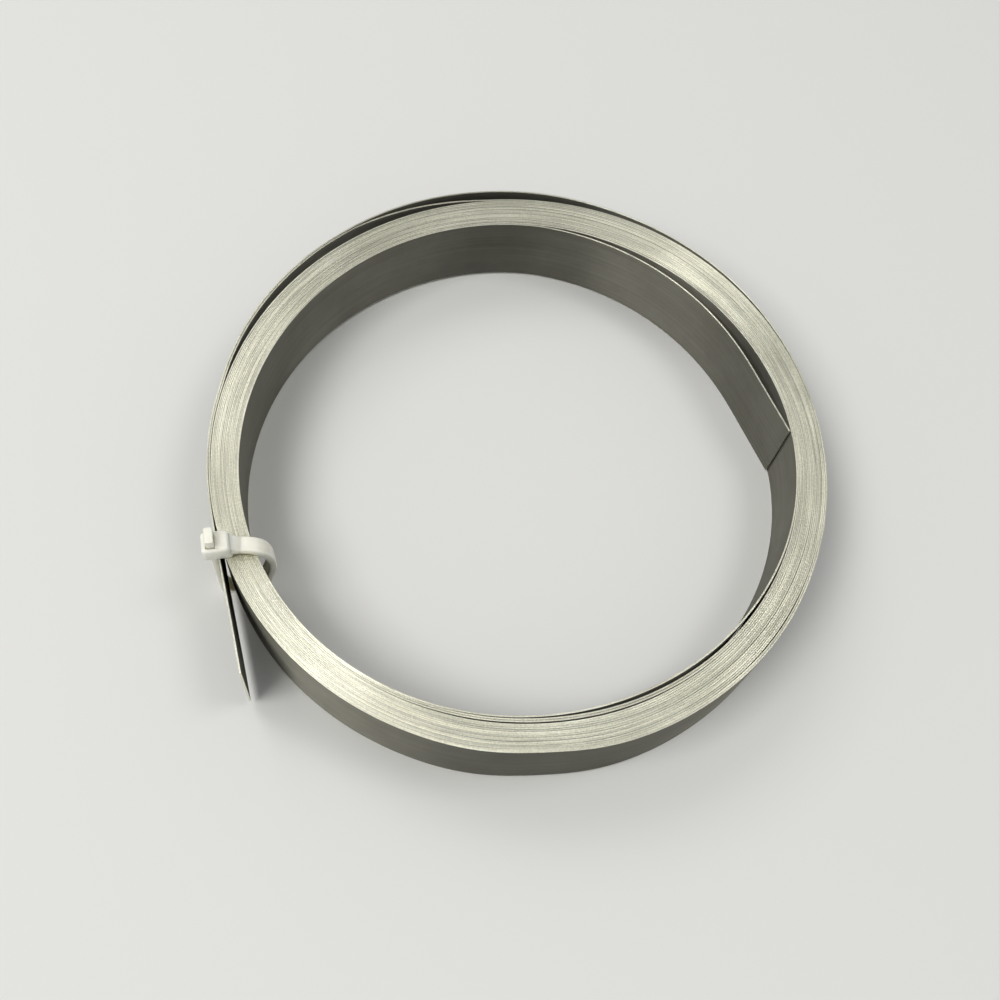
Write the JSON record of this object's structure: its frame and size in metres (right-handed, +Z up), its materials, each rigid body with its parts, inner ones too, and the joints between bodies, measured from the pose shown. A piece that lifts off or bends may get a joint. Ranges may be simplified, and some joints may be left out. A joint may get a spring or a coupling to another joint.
{
  "type": "roll of nichrome ribbon wire",
  "caption": "Flat resistance ribbon wound flat on flat into a ring, standing on its edges, with one loose outer end, one loose inner end and a nylon cable tie.",
  "frame": {"origin": "on the floor, where the axis of the roll's bore meets it", "axes": "+Z up out of the upper end of the roll, +X away from the cable tie, +Y towards the loose outer turn"},
  "size_m": [0.0739, 0.0752, 0.0148],
  "materials": {
    "nichrome": "bright annealed, satin, faint grey-brown in the shade",
    "nylon": "natural nylon, slightly see-through"
  },
  "bodies": {
    "root": {"ribbon_coil": "nichrome", "cable_tie": "nylon"}
  },
  "joints": []
}
